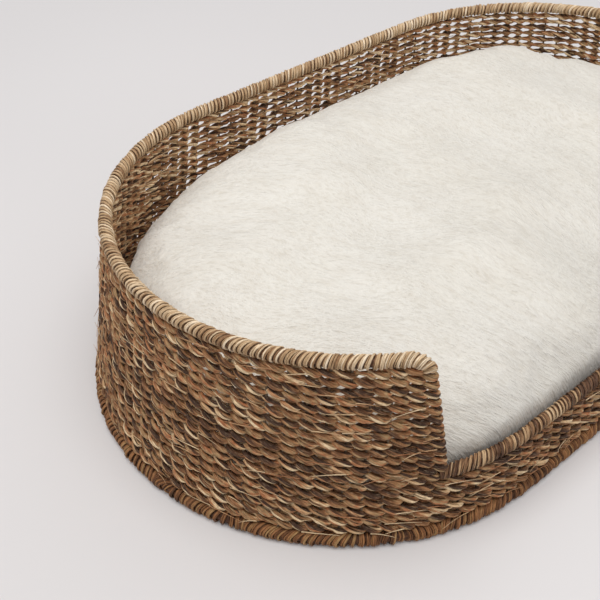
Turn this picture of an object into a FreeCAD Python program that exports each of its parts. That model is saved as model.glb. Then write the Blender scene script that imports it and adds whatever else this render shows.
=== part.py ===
# Oval wicker pet bed basket with a lowered entrance and a loose plush cushion.
#
# Frame: millimetres, +Z up, +X along the long axis, the entrance faces -Y, and the origin is on the
# floor under the middle of the basket.
#
# The basket is a welded wire frame with seagrass woven round it. At every height the wall is a
# stadium: two half circles joined by two straights. The stadium shrinks a little from the base to
# the top rim, so the wall leans inwards. Rows of seagrass rope are twined round the stakes, one strand
# outside them and one inside, and both rims are wrapped with finer cord.

import FreeCAD, Part

import math
import os
import Sketcher

Vector = FreeCAD.Vector
Rotation = FreeCAD.Rotation
Placement = FreeCAD.Placement
Constraint = Sketcher.Constraint

doc = FreeCAD.newDocument("wicker_pet_bed_basket")

# ---------------------------------------------------------------- driving dimensions

SIZES = {
    # wall centre line: half the straight, and the radius of the round ends
    "base_straight": 160.0,
    "base_bend": 233.5,
    "top_straight": 149.0,
    "top_bend": 217.7,
    # rims: height of their centre line and radius of the wrapped cord
    "base_rim_height": 6.1,
    "base_rim_radius": 6.5,
    "floor_clearing": 20.0,
    "top_rim_height": 180.2,
    "top_rim_radius": 5.8,
    "entrance_height": 64.2,
    "entrance_rim_radius": 5.5,
    # half the width of the entrance, at its sill and at the top rim
    "entrance_half_sill": 244.0,
    "entrance_half_top": 251.0,
    "entrance_corner_top": 16.0,
    "entrance_corner_sill": 5.0,
    "sill_row_setback": 7.0,
    # wire frame
    "wire_radius": 1.25,
    "wire_clearance": 0.1,
    "stake_radius": 1.1,
    "stakes_straight": 19,
    "stakes_end": 44,
    "cross_wires": 12,
    "cross_wire_pitch": 60.0,
    # woven rows: two strands, each this far from the wall's centre line
    "rows_below": 5,
    "rows_above": 14,
    "row_start_stake": 2,
    "row_start_step": 3,
    "strand_offset": 3.9,
    "strand_half_thickness": 2.0,
    "strand_play": 0.05,
    # woven floor
    "floor_bottom": 2.2,
    "floor_thickness": 8.6,
    "floor_edge_gap": 0.3,
    # cushion
    "cushion_straight": 149.0,
    "cushion_bend": 210.6,
    "cushion_bottom": 11.3,
    "cushion_height": 124.0,
    "cushion_shoulder": 50.0,
    "cushion_underside_round": 15.0,
    "cover_thickness": 4.0,
    "panel_thickness": 2.0,
}

sheet = doc.addObject("Spreadsheet::Sheet", "Sizes")
for line, (alias, size) in enumerate(SIZES.items(), start=1):
    sheet.set(f"A{line}", alias)
    sheet.set(f"B{line}", str(size))
    sheet.setAlias(f"B{line}", alias)
doc.recompute()


def value(alias):
    """A driving dimension as a number."""
    return float(getattr(sheet, alias))


def cell(alias):
    """A driving dimension as a term of an expression."""
    return f"Sizes.{alias}"


def blend(low, high, share):
    """Expression for a size that runs from low to high; share is an expression from 0 to 1."""
    return f"({low} + ({high} - {low}) * ({share}))"


def wall_share(height):
    """How far up the wall a height is: 0 at the base rim, 1 at the top rim."""
    base, top = cell("base_rim_height"), cell("top_rim_height")
    return f"(({height} - {base}) / ({top} - {base}))"


def straight_at(height):
    return blend(cell("base_straight"), cell("top_straight"), wall_share(height))


def bend_at(height):
    return blend(cell("base_bend"), cell("top_bend"), wall_share(height))


def entrance_half_at(height):
    """Half the width of the entrance at a height, from its sill to the top rim."""
    sill, top = cell("entrance_height"), cell("top_rim_height")
    share = f"({height} - {sill}) / ({top} - {sill})"
    return blend(cell("entrance_half_sill"), cell("entrance_half_top"), share)


def wall_numbers(height):
    """The wall's half straight and bend radius at a height, as numbers."""
    base = value("base_rim_height")
    share = (height - base) / (value("top_rim_height") - base)
    straight = value("base_straight") + (value("top_straight") - value("base_straight")) * share
    bend = value("base_bend") + (value("top_bend") - value("base_bend")) * share
    return straight, bend


# ---------------------------------------------------------------- outlines

# Where an outline is drawn before its constraints pull it to size: half the straight, the bend's
# radius, the angles at which an open bend ends, and half a split.
DRAWN_STRAIGHT = 150.0
DRAWN_BEND = 220.0
DRAWN_BACK_END = -65.0
DRAWN_FRONT_END = 250.0
DRAWN_SPLIT = 10.0


def bind(sketch, constraint, name, expression):
    """Add a sizing constraint and bind it to the sheet."""
    index = sketch.addConstraint(constraint)
    sketch.renameConstraint(index, name)
    sketch.setExpression(f"Constraints.{name}", expression)


def arc(centre_x, radius, start, end):
    circle = Part.Circle(Vector(centre_x, 0, 0), Vector(0, 0, 1), radius)
    return Part.ArcOfCircle(circle, math.radians(start), math.radians(end))


def new_sketch(name, height, parent=None):
    """An empty sketch at a height; inside a body it lies on the body's own XY plane."""
    if parent is None:
        sketch = doc.addObject("Sketcher::SketchObject", name)
        sketch.setExpression("Placement.Base.z", height)
        return sketch
    sketch = parent.newObject("Sketcher::SketchObject", name)
    planes = {plane.Role: plane for plane in parent.Origin.OriginFeatures}
    sketch.AttachmentSupport = [(planes["XY_Plane"], "")]
    sketch.MapMode = "FlatFace"
    sketch.setExpression("AttachmentOffset.Base.z", height)
    return sketch


def closed_outline(name, height, straight, bend, parent=None):
    """The whole stadium. straight, bend and height are expressions."""
    sketch = new_sketch(name, height, parent)
    half, radius = DRAWN_STRAIGHT, DRAWN_BEND
    sketch.addGeometry(arc(-half, radius, 90, 270), False)
    sketch.addGeometry(Part.LineSegment(Vector(-half, -radius, 0), Vector(half, -radius, 0)), False)
    sketch.addGeometry(arc(half, radius, -90, 90), False)
    sketch.addGeometry(Part.LineSegment(Vector(half, radius, 0), Vector(-half, radius, 0)), False)
    for first, first_end, second, second_end in ((0, 2, 1, 1), (1, 2, 2, 1), (2, 2, 3, 1), (3, 2, 0, 1)):
        sketch.addConstraint(Constraint("Tangent", first, first_end, second, second_end))
    sketch.addConstraint(Constraint("PointOnObject", 2, 3, -1))
    sketch.addConstraint(Constraint("Symmetric", 0, 3, 2, 3, -2))
    sketch.addConstraint(Constraint("Equal", 0, 2))
    bind(sketch, Constraint("Radius", 0, radius), "bend", bend)
    bind(sketch, Constraint("DistanceX", -1, 1, 2, 3, half), "straight", straight)
    return sketch


def back_outline(name, height, straight, bend, reach):
    """The high part of the wall: both ends and the back, open at the front from -reach to +reach."""
    sketch = new_sketch(name, height)
    half, radius, start = DRAWN_STRAIGHT, DRAWN_BEND, DRAWN_BACK_END
    sketch.addGeometry(arc(-half, radius, 90, 180 - start), False)
    sketch.addGeometry(Part.LineSegment(Vector(-half, radius, 0), Vector(half, radius, 0)), False)
    sketch.addGeometry(arc(half, radius, start, 90), False)
    sketch.addConstraint(Constraint("Tangent", 0, 1, 1, 1))
    sketch.addConstraint(Constraint("Tangent", 1, 2, 2, 2))
    sketch.addConstraint(Constraint("PointOnObject", 2, 3, -1))
    sketch.addConstraint(Constraint("Symmetric", 0, 3, 2, 3, -2))
    sketch.addConstraint(Constraint("Equal", 0, 2))
    sketch.addConstraint(Constraint("Horizontal", 0, 2, 2, 1))
    bind(sketch, Constraint("Radius", 0, radius), "bend", bend)
    bind(sketch, Constraint("DistanceX", -1, 1, 2, 3, half), "straight", straight)
    front_x = half + radius * math.cos(math.radians(start))
    bind(sketch, Constraint("DistanceX", -1, 1, 2, 1, front_x), "reach", reach)
    return sketch


def front_outline(name, height, straight, bend, reach):
    """The low part of the wall: the front straight and a piece of each round end, out to reach."""
    sketch = new_sketch(name, height)
    half, radius, start = DRAWN_STRAIGHT, DRAWN_BEND, DRAWN_FRONT_END
    sketch.addGeometry(arc(-half, radius, start, 270), False)
    sketch.addGeometry(Part.LineSegment(Vector(-half, -radius, 0), Vector(half, -radius, 0)), False)
    sketch.addGeometry(arc(half, radius, 270, 540 - start), False)
    sketch.addConstraint(Constraint("Tangent", 0, 2, 1, 1))
    sketch.addConstraint(Constraint("Tangent", 1, 2, 2, 1))
    sketch.addConstraint(Constraint("PointOnObject", 2, 3, -1))
    sketch.addConstraint(Constraint("Symmetric", 0, 3, 2, 3, -2))
    sketch.addConstraint(Constraint("Equal", 0, 2))
    sketch.addConstraint(Constraint("Horizontal", 0, 1, 2, 2))
    bind(sketch, Constraint("Radius", 0, radius), "bend", bend)
    bind(sketch, Constraint("DistanceX", -1, 1, 2, 3, half), "straight", straight)
    side_x = half - radius * math.cos(math.radians(start))
    bind(sketch, Constraint("DistanceX", -1, 1, 2, 2, side_x), "reach", reach)
    return sketch


def split_outline(name, height, straight, bend, split_left, split_right):
    """The whole stadium, open between two points of its back straight."""
    sketch = new_sketch(name, height)
    half, radius = DRAWN_STRAIGHT, DRAWN_BEND
    left, right = -DRAWN_SPLIT, DRAWN_SPLIT
    sketch.addGeometry(Part.LineSegment(Vector(left, radius, 0), Vector(-half, radius, 0)), False)
    sketch.addGeometry(arc(-half, radius, 90, 270), False)
    sketch.addGeometry(Part.LineSegment(Vector(-half, -radius, 0), Vector(half, -radius, 0)), False)
    sketch.addGeometry(arc(half, radius, -90, 90), False)
    sketch.addGeometry(Part.LineSegment(Vector(half, radius, 0), Vector(right, radius, 0)), False)
    for first, first_end, second, second_end in ((0, 2, 1, 1), (1, 2, 2, 1), (2, 2, 3, 1), (3, 2, 4, 1)):
        sketch.addConstraint(Constraint("Tangent", first, first_end, second, second_end))
    sketch.addConstraint(Constraint("PointOnObject", 3, 3, -1))
    sketch.addConstraint(Constraint("Symmetric", 1, 3, 3, 3, -2))
    sketch.addConstraint(Constraint("Equal", 1, 3))
    sketch.addConstraint(Constraint("Horizontal", 0))
    sketch.addConstraint(Constraint("Horizontal", 4))
    bind(sketch, Constraint("Radius", 1, radius), "bend", bend)
    bind(sketch, Constraint("DistanceX", -1, 1, 3, 3, half), "straight", straight)
    bind(sketch, Constraint("DistanceX", -1, 1, 0, 1, left), "split_left", split_left)
    bind(sketch, Constraint("DistanceX", -1, 1, 4, 2, right), "split_right", split_right)
    return sketch


# ---------------------------------------------------------------- pieces swept along an outline

def stand_at_start(section, path):
    """Turn a section's plane square to the path's first edge, with its local X upright."""
    edge = path.Shape.Wires[0].OrderedEdges[0]
    start = edge.valueAt(edge.FirstParameter)
    along = edge.tangentAt(edge.FirstParameter)
    up = Vector(0, 0, 1)
    section.Placement = Placement(start, Rotation(up, along.cross(up), along, "ZXY"))


def sweep(name, path, section):
    """A solid of the given section along every edge of a path."""
    doc.recompute()
    stand_at_start(section, path)
    solid = doc.addObject("Part::Sweep", name)
    solid.Sections = [section]
    solid.Spine = (path, [f"Edge{number + 1}" for number in range(len(path.Shape.Edges))])
    solid.Solid = True
    solid.Frenet = False
    return solid


def round_section(name, radius):
    section = doc.addObject("Part::Circle", name)
    section.setExpression("Radius", radius)
    return section


def strand_section(name, half_height):
    """The oval section of a strand, taller than it is thick."""
    section = doc.addObject("Part::Ellipse", name)
    section.setExpression("MajorRadius", half_height)
    section.setExpression("MinorRadius", cell("strand_half_thickness"))
    return section


def weft_row(name, outline, half_height):
    """One woven row: a strand outside the stakes and one inside, turned back round the last stake."""
    path = doc.addObject("Part::Offset2D", f"{name}_path")
    path.Source = outline
    path.setExpression("Value", cell("strand_offset"))
    path.Mode = "Pipe"
    path.Join = "Arc"
    path.Fill = False
    row = sweep(name, path, strand_section(f"{name}_section", half_height))
    row.Label = name
    return row


def wrap(name, outline, radius):
    """A rim wrapping: a tube of cord with the rim's wire in its core."""
    outside = sweep(f"{name}_outside", outline, round_section(f"{name}_section", radius))
    core_radius = f"{cell('wire_radius')} + {cell('wire_clearance')}"
    core = sweep(f"{name}_core", outline, round_section(f"{name}_core_section", core_radius))
    tube = doc.addObject("Part::Cut", name)
    tube.Base = outside
    tube.Tool = core
    tube.Label = name
    return tube


def flat_underneath(name, tube):
    """The base rim's wrapping, pressed flat where it stands on the floor."""
    below = doc.addObject("Part::Box", f"{name}_below_floor")
    half_length = f"({cell('base_straight')} + {cell('base_bend')} + {cell('floor_clearing')})"
    half_width = f"({cell('base_bend')} + {cell('floor_clearing')})"
    below.setExpression("Length", f"{half_length} * 2")
    below.setExpression("Width", f"{half_width} * 2")
    below.setExpression("Height", cell("floor_clearing"))
    below.setExpression("Placement.Base.x", f"-{half_length}")
    below.setExpression("Placement.Base.y", f"-{half_width}")
    below.setExpression("Placement.Base.z", f"-{cell('floor_clearing')}")
    tube.Label = f"{name}_round"
    flat = doc.addObject("Part::Cut", f"{name}_flat")
    flat.Base = tube
    flat.Tool = below
    flat.Label = name
    return flat


# ---------------------------------------------------------------- woven wall

def stake_x(number, height):
    """Expression for the x of a stake on the back straight, counted from its left end."""
    share = (2 * number + 1) / value("stakes_straight") - 1
    return f"{straight_at(height)} * ({share:.6f})"


def rows_below_entrance():
    """Rows that run all the way round. Each starts and ends on two neighbouring stakes at the back."""
    rows = []
    count = int(value("rows_below"))
    low = f"({cell('base_rim_height')} + {cell('base_rim_radius')})"
    high = f"({cell('entrance_height')} - {cell('entrance_rim_radius')})"
    for number in range(count):
        name = f"weft_row_{number + 1:02d}"
        height = blend(low, high, f"{(number + 0.5) / count:.6f}")
        first_stake = int(value("row_start_stake") + value("row_start_step") * number)
        outline = split_outline(
            f"{name}_outline", height, straight_at(height), bend_at(height),
            stake_x(first_stake, height), stake_x(first_stake + 1, height))
        half_height = f"({high} - {low}) / {2 * count} - {cell('strand_play')}"
        rows.append(weft_row(name, outline, half_height))
    return rows


def rows_beside_entrance():
    """Rows of the high wall, which turn back round the wire at each side of the entrance."""
    rows = []
    count = int(value("rows_above"))
    first_number = int(value("rows_below")) + 1
    low = f"({cell('entrance_height')} - {cell('entrance_rim_radius')})"
    high = f"({cell('top_rim_height')} - {cell('top_rim_radius')})"
    for number in range(count):
        name = f"weft_row_{first_number + number:02d}"
        height = blend(low, high, f"{(number + 0.5) / count:.6f}")
        reach = entrance_half_at(height)
        if number == 0:
            reach = f"{reach} + {cell('sill_row_setback')}"
        outline = back_outline(f"{name}_outline", height, straight_at(height), bend_at(height), reach)
        half_height = f"({high} - {low}) / {2 * count} - {cell('strand_play')}"
        rows.append(weft_row(name, outline, half_height))
    return rows


# ---------------------------------------------------------------- wire frame

def entrance_corner(height, half_width, corner):
    """Where a side wire would meet a rim wire, and the tangent point of the bend between them.

    corner is the bend's tangent length, positive towards the back of the basket. Left side only.
    """
    straight, bend = wall_numbers(height)
    turn = math.atan2(corner, bend)
    knee_radius = bend / math.cos(turn)
    knee_angle = math.asin((half_width - straight) / knee_radius)
    knee_x = -straight - knee_radius * math.sin(knee_angle)
    knee = Vector(knee_x, -knee_radius * math.cos(knee_angle), height)
    end_angle = knee_angle + turn
    end = Vector(-straight - bend * math.sin(end_angle), -bend * math.cos(end_angle), height)
    return knee, end


def mirrored(point):
    return Vector(-point.x, point.y, point.z)


def bend_arc(start, knee, end):
    """The arc tangent to both legs of a knee, from start to end, which are equally far from it."""
    leg = (start - knee).Length
    inward = (start - knee) + (end - knee)
    half_angle = math.asin((end - start).Length / (2 * leg))
    middle = knee + inward.normalize() * (leg / math.cos(half_angle) - leg * math.tan(half_angle))
    return Part.Arc(start, middle, end).toShape()


def end_arc(height, start, end):
    """The wall's round end between two points of it, through the middle of that stretch."""
    straight, bend = wall_numbers(height)
    centre = Vector(math.copysign(straight, start.x), 0, height)
    middle = centre + ((start - centre) + (end - centre)).normalize() * bend
    return Part.Arc(start, middle, end).toShape()


TOP = value("top_rim_height")
SILL = value("entrance_height")
TOP_KNEE, TOP_END = entrance_corner(TOP, value("entrance_half_top"), value("entrance_corner_top"))
SILL_KNEE, SILL_END = entrance_corner(SILL, value("entrance_half_sill"), -value("entrance_corner_sill"))


def rim_wire():
    """One closed wire: the high rim, down one side of the entrance, its sill, and up the other side."""
    down = (SILL_KNEE - TOP_KNEE).normalize()
    side_top = TOP_KNEE + down * value("entrance_corner_top")
    side_foot = SILL_KNEE - down * value("entrance_corner_sill")
    top_straight, top_bend = wall_numbers(TOP)
    sill_straight, sill_bend = wall_numbers(SILL)
    back_left = Vector(-top_straight, top_bend, TOP)
    far_left = Vector(-top_straight - top_bend, 0, TOP)
    front_left = Vector(-sill_straight, -sill_bend, SILL)
    back = Part.LineSegment(back_left, mirrored(back_left)).toShape()
    left = [
        Part.Arc(back_left, far_left, TOP_END).toShape(),
        bend_arc(TOP_END, TOP_KNEE, side_top),
        Part.LineSegment(side_top, side_foot).toShape(),
        bend_arc(side_foot, SILL_KNEE, SILL_END),
        end_arc(SILL, SILL_END, front_left),
    ]
    sill = Part.LineSegment(front_left, mirrored(front_left)).toShape()
    right = [edge.mirror(Vector(0, 0, 0), Vector(1, 0, 0)) for edge in left]
    path = Part.Wire(Part.__sortEdges__([back] + left + [sill] + right))
    section = Part.Wire(Part.Circle(back_left, Vector(1, 0, 0), value("wire_radius")).toShape())
    wire = doc.addObject("Part::Feature", "rim_wire")
    wire.Label = "rim_wire"
    wire.Shape = path.makePipeShell([section], True, False)
    wire.Placement = Placement()
    return wire


def base_ring_wire(outline):
    ring = sweep("base_ring_wire", outline, round_section("base_ring_wire_section", cell("wire_radius")))
    ring.Label = "base_ring_wire"
    return ring


def stations():
    """Every stake's place along the wall: end, place, face.

    On a round end, end is -1 or 1 and place is an angle. On a straight, end is 0, place is a share of
    its half length, and face is -1 in front and 1 behind.
    """
    per_straight = int(value("stakes_straight"))
    per_end = int(value("stakes_end"))
    for number in range(per_straight):
        share = (2 * number + 1) / per_straight - 1
        yield 0, share, -1
        yield 0, share, 1
    for number in range(per_end):
        angle = math.radians(180 * (number + 0.5) / per_end - 90)
        yield -1, angle, 0
        yield 1, angle, 0


def wall_point(station, height):
    """The wall's centre line at a stake's station and a height."""
    side, place, face = station
    straight, bend = wall_numbers(height)
    if side == 0:
        return Vector(straight * place, bend * face, height)
    return Vector(side * (straight + bend * math.cos(place)), bend * math.sin(place), height)


def stake_wires():
    """Upright wires from the base ring to the rim, shorter where they end under the entrance sill."""
    stakes = []
    foot = value("base_rim_height") + value("wire_radius")
    for station in stations():
        sill_point = wall_point(station, SILL)
        top_point = wall_point(station, TOP)
        in_front = sill_point.y < 0
        if in_front and abs(sill_point.x) < abs(SILL_END.x):
            top = SILL - value("wire_radius")
        elif in_front and abs(top_point.x) < abs(TOP_END.x) + value("stake_radius"):
            continue  # the entrance's own side wire stands here
        else:
            top = TOP - value("wire_radius")
        start = wall_point(station, foot)
        end = wall_point(station, top)
        stakes.append(Part.makeCylinder(value("stake_radius"), (end - start).Length, start, end - start))
    group = doc.addObject("Part::Feature", "stake_wires")
    group.Label = "stake_wires"
    group.Shape = Part.makeCompound(stakes)
    group.Placement = Placement()
    return group


def cross_wire_x(number):
    """Expression for the x of a wire across the base."""
    steps = number - (value("cross_wires") - 1) / 2
    return f"{cell('cross_wire_pitch')} * ({steps})"


def base_cross_wires():
    """Wires across the base, which carry the woven floor."""
    wires = []
    for number in range(int(value("cross_wires"))):
        x = cross_wire_x(number)
        beyond = f"max(abs({x}) - {cell('base_straight')}; 0)"
        half_span = f"(sqrt({cell('base_bend')}^2 - ({beyond})^2) - {cell('wire_radius')} * 2)"
        wire = doc.addObject("Part::Cylinder", f"cross_wire_{number + 1}")
        wire.Placement = Placement(Vector(0, 0, 0), Rotation(Vector(1, 0, 0), -90))
        wire.setExpression("Radius", cell("wire_radius"))
        wire.setExpression("Height", f"{half_span} * 2")
        wire.setExpression("Placement.Base.x", x)
        wire.setExpression("Placement.Base.y", f"-{half_span}")
        wire.setExpression("Placement.Base.z", cell("base_rim_height"))
        wires.append(wire)
    group = doc.addObject("Part::Compound", "base_cross_wires")
    group.Links = wires
    group.Label = "base_cross_wires"
    return group


# ---------------------------------------------------------------- floor

def pad(body, name, profile, length):
    feature = body.newObject("PartDesign::Pad", name)
    feature.Profile = profile
    feature.setExpression("Length", length)
    profile.Visibility = False
    return feature


def floor_weave():
    """The woven floor, one mat with a tunnel for each wire across the base."""
    body = doc.addObject("PartDesign::Body", "floor_weave")
    body.Label = "floor_weave"
    bend = f"{cell('base_bend')} - {cell('base_rim_radius')} - {cell('floor_edge_gap')}"
    outline = closed_outline("floor_outline", cell("floor_bottom"), cell("base_straight"), bend, body)
    pad(body, "floor_mat", outline, cell("floor_thickness"))
    tunnels = body.newObject("Sketcher::SketchObject", "floor_tunnel_section")
    planes = {plane.Role: plane for plane in body.Origin.OriginFeatures}
    tunnels.AttachmentSupport = [(planes["XZ_Plane"], "")]
    tunnels.MapMode = "FlatFace"
    radius = f"{cell('wire_radius')} + {cell('wire_clearance')}"
    count = int(value("cross_wires"))
    for number in range(count):
        x = value("cross_wire_pitch") * (number - (count - 1) / 2)
        y = value("base_rim_height")
        tunnels.addGeometry(Part.Circle(Vector(x, y, 0), Vector(0, 0, 1), value("wire_radius")), False)
        bind(tunnels, Constraint("Radius", number, value("wire_radius")), f"radius_{number}", radius)
        across = Constraint("DistanceX", -1, 1, number, 3, x)
        bind(tunnels, across, f"across_{number}", cross_wire_x(number))
        bind(tunnels, Constraint("DistanceY", -1, 1, number, 3, y), f"up_{number}", cell("base_rim_height"))
    doc.recompute()
    solid_volume = body.Shape.Volume
    cut = body.newObject("PartDesign::Pocket", "floor_tunnels")
    cut.Profile = tunnels
    cut.Type = "ThroughAll"
    cut.Midplane = True
    tunnels.Visibility = False
    doc.recompute()
    if not body.Shape.Volume < solid_volume:
        raise RuntimeError("the floor's tunnels cut nothing")
    return body


# ---------------------------------------------------------------- cushion

def edge_names(shape, height):
    """Names of a shape's edges that lie flat at a height."""
    found = []
    for number, edge in enumerate(shape.Edges, start=1):
        box = edge.BoundBox
        if abs(box.ZMin - height) < 1e-3 and abs(box.ZMax - height) < 1e-3:
            found.append(f"Edge{number}")
    return found


def rounded_pad(name, inset, bottom, top, shoulder, underside):
    """A stadium pad, rounded by much at its shoulder and by little underneath. Sizes are expressions."""
    body = doc.addObject("PartDesign::Body", name)
    bend = f"{cell('cushion_bend')} - {inset}"
    outline = closed_outline(f"{name}_outline", bottom, cell("cushion_straight"), bend, body)
    block = pad(body, f"{name}_block", outline, f"{top} - {bottom}")
    doc.recompute()
    box = block.Shape.BoundBox
    upper = body.newObject("PartDesign::Fillet", f"{name}_shoulder")
    upper.Base = (block, edge_names(block.Shape, box.ZMax))
    upper.setExpression("Radius", shoulder)
    doc.recompute()
    lower = body.newObject("PartDesign::Fillet", f"{name}_underside")
    lower.Base = (upper, edge_names(upper.Shape, box.ZMin))
    lower.setExpression("Radius", underside)
    doc.recompute()
    return body


def cushion():
    """The loose cushion: a fibre filling inside a plush top cover, closed by a plain panel underneath."""
    bottom = cell("cushion_bottom")
    top = f"({bottom} + {cell('cushion_height')})"
    shoulder = cell("cushion_shoulder")
    underside = cell("cushion_underside_round")
    thickness = cell("cover_thickness")
    outside = rounded_pad("cushion_outside", "0", bottom, top, shoulder, underside)
    filling = rounded_pad(
        "cushion_filling", thickness, f"({bottom} + {cell('panel_thickness')})", f"({top} - {thickness})",
        f"{shoulder} - {thickness}", f"{underside} - {thickness}")
    filling.Label = "cushion_filling"
    panel = doc.addObject("PartDesign::Body", "cushion_base_panel")
    panel.Label = "cushion_base_panel"
    panel_bend = f"{cell('cushion_bend')} - {underside}"
    panel_outline = closed_outline("panel_outline", bottom, cell("cushion_straight"), panel_bend, panel)
    pad(panel, "panel_sheet", panel_outline, cell("panel_thickness"))
    contents = doc.addObject("Part::Compound", "cushion_contents")
    contents.Links = [filling, panel]
    cover = doc.addObject("Part::Cut", "cushion_top_cover")
    cover.Base = outside
    cover.Tool = contents
    cover.Label = "cushion_top_cover"
    return [cover, filling, panel]


# ---------------------------------------------------------------- the whole basket

def corner_reach(height_name, half_name, corner_name, sign):
    """Expression for the x at which a rim's wrapping stops, where the wire starts its bend."""
    height = cell(height_name)
    turn = f"atan({cell(corner_name)} / {bend_at(height)})"
    knee = f"asin(({cell(half_name)} - {straight_at(height)}) * cos({turn}) / {bend_at(height)})"
    return f"{straight_at(height)} + {bend_at(height)} * sin({knee} {sign} {turn})"


def build():
    base = closed_outline("base_outline", cell("base_rim_height"), cell("base_straight"), cell("base_bend"))
    top = back_outline(
        "top_outline", cell("top_rim_height"), cell("top_straight"), cell("top_bend"),
        corner_reach("top_rim_height", "entrance_half_top", "entrance_corner_top", "+"))
    sill_height = cell("entrance_height")
    sill = front_outline(
        "sill_outline", sill_height, straight_at(sill_height), bend_at(sill_height),
        corner_reach("entrance_height", "entrance_half_sill", "entrance_corner_sill", "-"))
    pieces = [rim_wire(), base_ring_wire(base), stake_wires(), base_cross_wires(), floor_weave()]
    pieces += rows_below_entrance() + rows_beside_entrance()
    pieces.append(flat_underneath("base_rim_wrap", wrap("base_rim_wrap", base, cell("base_rim_radius"))))
    pieces.append(wrap("entrance_rim_wrap", sill, cell("entrance_rim_radius")))
    pieces.append(wrap("top_rim_wrap", top, cell("top_rim_radius")))
    pieces += cushion()
    return pieces


def check(pieces):
    """Stop if an object failed, a sketch is loose, or a piece has no valid solid."""
    for item in doc.Objects:
        if "Invalid" in item.State or "Error" in item.State:
            raise RuntimeError(f"{item.Label} failed: {item.State}")
        if item.TypeId == "Sketcher::SketchObject" and not item.FullyConstrained:
            raise RuntimeError(f"{item.Label} isn't fully constrained")
    for piece in pieces:
        shape = piece.Shape
        if shape.isNull() or not shape.isValid() or not shape.Solids:
            raise RuntimeError(f"{piece.Label} has no valid solid")
        box = shape.BoundBox
        size = f"{box.XLength:.1f} x {box.YLength:.1f} x {box.ZLength:.1f}"
        print(f"{piece.Label}: {len(shape.Solids)} solid(s), {shape.Volume / 1000:.1f} cm3, {size} mm")


pieces = build()
doc.recompute()
check(pieces)
os.makedirs("parts", exist_ok=True)
for piece in pieces:
    piece.Shape.exportStep(f"parts/{piece.Label}.step")
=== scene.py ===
import math

import bpy
import numpy as np
from mathutils import Matrix, Vector, noise


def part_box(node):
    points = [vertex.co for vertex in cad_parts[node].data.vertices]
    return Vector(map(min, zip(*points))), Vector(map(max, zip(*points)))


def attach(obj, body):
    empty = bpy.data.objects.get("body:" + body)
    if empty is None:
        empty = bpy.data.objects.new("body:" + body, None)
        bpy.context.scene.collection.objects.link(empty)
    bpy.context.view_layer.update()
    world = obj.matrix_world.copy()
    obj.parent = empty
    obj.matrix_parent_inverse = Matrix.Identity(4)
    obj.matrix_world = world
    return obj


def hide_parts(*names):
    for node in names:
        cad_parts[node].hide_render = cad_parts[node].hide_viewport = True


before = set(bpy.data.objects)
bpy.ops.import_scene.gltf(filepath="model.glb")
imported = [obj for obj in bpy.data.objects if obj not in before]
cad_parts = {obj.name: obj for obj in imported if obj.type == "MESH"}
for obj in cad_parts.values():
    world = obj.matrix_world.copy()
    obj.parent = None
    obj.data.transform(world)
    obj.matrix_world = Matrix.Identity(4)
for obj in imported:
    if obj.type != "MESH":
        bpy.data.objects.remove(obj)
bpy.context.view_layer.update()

rng = np.random.default_rng(11)
MM = 0.001
UP = np.array([0.0, 0.0, 1.0])

# ---------------------------------------------------------------- materials


def srgb(*c):
    """A colour given as 0 to 255, as the shader takes it."""
    return tuple((x / 255 / 12.92) if x < 11 else ((x / 255 + 0.055) / 1.055) ** 2.4 for x in c) + (1.0,)


def new_material(name, roughness=0.8):
    m = bpy.data.materials.new(name)
    m.use_nodes = True
    nt = m.node_tree
    shader = nt.nodes["Principled BSDF"]
    shader.inputs["Roughness"].default_value = roughness
    return m, nt, shader


def noise_node(nt, vector, scale, detail=3.0, rough=0.55):
    n = nt.nodes.new("ShaderNodeTexNoise")
    n.inputs["Scale"].default_value = scale
    n.inputs["Detail"].default_value = detail
    n.inputs["Roughness"].default_value = rough
    nt.links.new(vector, n.inputs["Vector"])
    return n.outputs["Fac"]


def math_node(nt, kind, a, b=None, c=None, clamp=False):
    n = nt.nodes.new("ShaderNodeMath")
    n.operation = kind
    n.use_clamp = clamp
    for i, v in enumerate((a, b, c)):
        if v is None:
            continue
        if isinstance(v, (int, float)):
            n.inputs[i].default_value = v
        else:
            nt.links.new(v, n.inputs[i])
    return n.outputs[0]


def ramp(nt, fac, stops):
    n = nt.nodes.new("ShaderNodeValToRGB")
    e = n.color_ramp.elements
    while len(e) < len(stops):
        e.new(0.5)
    for el, (p, c) in zip(e, stops):
        el.position = p
        el.color = c
    nt.links.new(fac, n.inputs["Fac"])
    return n.outputs["Color"]


def mix(nt, fac, a, b, kind="MIX"):
    n = nt.nodes.new("ShaderNodeMix")
    n.data_type = "RGBA"
    n.blend_type = kind
    if isinstance(fac, (int, float)):
        n.inputs["Factor"].default_value = fac
    else:
        nt.links.new(fac, n.inputs["Factor"])
    for name, v in (("A", a), ("B", b)):
        s = [i for i in n.inputs if i.name == name and i.type == "RGBA"][0]
        if isinstance(v, tuple):
            s.default_value = v
        else:
            nt.links.new(v, s)
    return [o for o in n.outputs if o.type == "RGBA"][0]


def attribute(nt, name, out):
    n = nt.nodes.new("ShaderNodeAttribute")
    n.attribute_name = name
    return n.outputs[out]


def bump(nt, shader, height, distance):
    n = nt.nodes.new("ShaderNodeBump")
    n.inputs["Strength"].default_value = 1.0
    n.inputs["Distance"].default_value = distance
    nt.links.new(height, n.inputs["Height"])
    nt.links.new(n.outputs["Normal"], shader.inputs["Normal"])


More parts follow.
